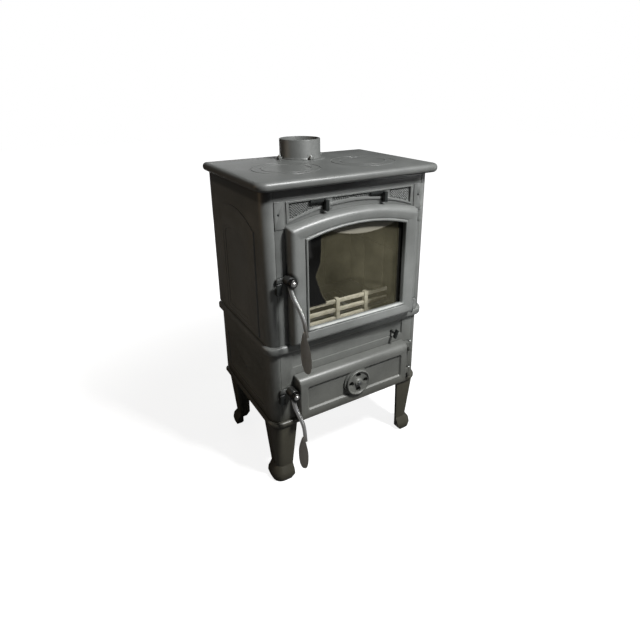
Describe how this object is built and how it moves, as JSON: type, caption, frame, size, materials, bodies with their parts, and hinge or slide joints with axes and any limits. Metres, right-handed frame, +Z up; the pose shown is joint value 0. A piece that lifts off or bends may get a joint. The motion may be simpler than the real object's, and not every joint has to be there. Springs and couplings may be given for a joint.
{
  "type": "wood stove",
  "caption": "Free-standing cast-iron wood stove on short legs: arched glazed fire door, lower ash door with a turning air rosette, sliding air levers and a round flue collar on top.",
  "frame": {"origin": "floor level, under the middle of the overall width and of the overall depth with the hanging handles", "axes": "+Z up, the doors face -Y, +X to the right of someone facing the doors"},
  "size_m": [0.542, 0.4508, 0.922],
  "materials": {
    "stove_paint": "satin heat-resistant stove paint on sand-cast iron",
    "control_black": "black satin paint on cast levers and catches",
    "polished_steel": "polished handle rods, grips and pivot bolts",
    "plain_steel": "plain steel pins, screws, clips, shutters and ash tray",
    "rope_seal": "dull woven fire rope and flat tape",
    "fire_brick": "dry rough firebrick",
    "ash_grey": "cast iron dulled by pale ash",
    "stove_glass": "smoke-tinted clear ceramic glass"
  },
  "bodies": {
    "stove_body": {"top_plate": "stove_paint", "flue_collar": "stove_paint", "left_side": "stove_paint", "right_side": "stove_paint", "lower_left_side": "stove_paint", "lower_right_side": "stove_paint", "back_plate": "stove_paint", "lower_back": "stove_paint", "hearth_plate": "stove_paint", "base_plate": "stove_paint", "leg_front_left": "stove_paint", "leg_front_right": "stove_paint", "leg_back_right": "stove_paint", "leg_back_left": "stove_paint", "front_plate": "stove_paint", "lower_front": "stove_paint", "baffle_plate": "stove_paint", "collar_bolt_front": "plain_steel", "collar_bolt_right": "plain_steel", "collar_bolt_back": "plain_steel", "collar_bolt_left": "plain_steel", "fire_hinge_pin_bottom": "plain_steel", "fire_hinge_pin_top": "plain_steel", "ash_hinge_pin_bottom": "plain_steel", "ash_hinge_pin_top": "plain_steel", "ash_pan": "plain_steel", "fire_keeper": "control_black", "ash_keeper": "control_black", "log_guard": "ash_grey", "brick_left": "fire_brick", "brick_right": "fire_brick", "brick_back": "fire_brick"},
    "fire_door": {"fire_door": "stove_paint", "fire_door_seal": "rope_seal", "glass_gasket": "rope_seal", "door_glass": "stove_glass", "glass_clip_left": "plain_steel", "glass_clip_right": "plain_steel", "clip_screw_left_bottom": "plain_steel", "clip_screw_left_top": "plain_steel", "clip_screw_right_bottom": "plain_steel", "clip_screw_right_top": "plain_steel"},
    "fire_handle": {"fire_handle": "polished_steel", "fire_pivot_bolt": "polished_steel", "fire_latch_tongue": "plain_steel"},
    "ash_door": {"ash_door": "stove_paint", "ash_door_seal": "rope_seal", "spinner_bolt": "plain_steel"},
    "ash_handle": {"ash_handle": "polished_steel", "ash_pivot_bolt": "polished_steel", "ash_latch_tongue": "plain_steel"},
    "air_rosette": {"air_spinner": "stove_paint"},
    "air_slide_left": {"air_lever_left": "control_black", "air_shutter_left": "plain_steel"},
    "air_slide_right": {"air_lever_right": "control_black", "air_shutter_right": "plain_steel"},
    "riddling": {"riddling_rod": "control_black", "fire_grate": "stove_paint"}
  },
  "joints": [
    {"name": "fire_door_hinge", "type": "hinge", "parent": "stove_body", "child": "fire_door", "pos_m": [0.209, -0.14861, 0.592], "axis": [0, 0, 1], "range_deg": [0, 110]},
    {"name": "fire_handle_pivot", "type": "hinge", "parent": "fire_door", "child": "fire_handle", "pos_m": [-0.199, -0.16161, 0.621], "axis": [0, 1, 0], "range_deg": [-12, 75]},
    {"name": "ash_door_hinge", "type": "hinge", "parent": "stove_body", "child": "ash_door", "pos_m": [0.209, -0.14361, 0.271], "axis": [0, 0, 1], "range_deg": [0, 110]},
    {"name": "ash_handle_pivot", "type": "hinge", "parent": "ash_door", "child": "ash_handle", "pos_m": [-0.199, -0.15861, 0.302], "axis": [0, 1, 0], "range_deg": [-12, 75]},
    {"name": "air_rosette_turn", "type": "hinge", "parent": "ash_door", "child": "air_rosette", "pos_m": [0, -0.17061, 0.2745], "axis": [0, 1, 0], "range_deg": [0, 45]},
    {"name": "air_slide_left_travel", "type": "slide", "parent": "stove_body", "child": "air_slide_left", "axis": [-1, 0, 0], "range_m": [0, 0.024]},
    {"name": "air_slide_right_travel", "type": "slide", "parent": "stove_body", "child": "air_slide_right", "axis": [1, 0, 0], "range_m": [0, 0.024]},
    {"name": "riddling_travel", "type": "slide", "parent": "stove_body", "child": "riddling", "axis": [0, -1, 0], "range_m": [0, 0.016]}
  ]
}
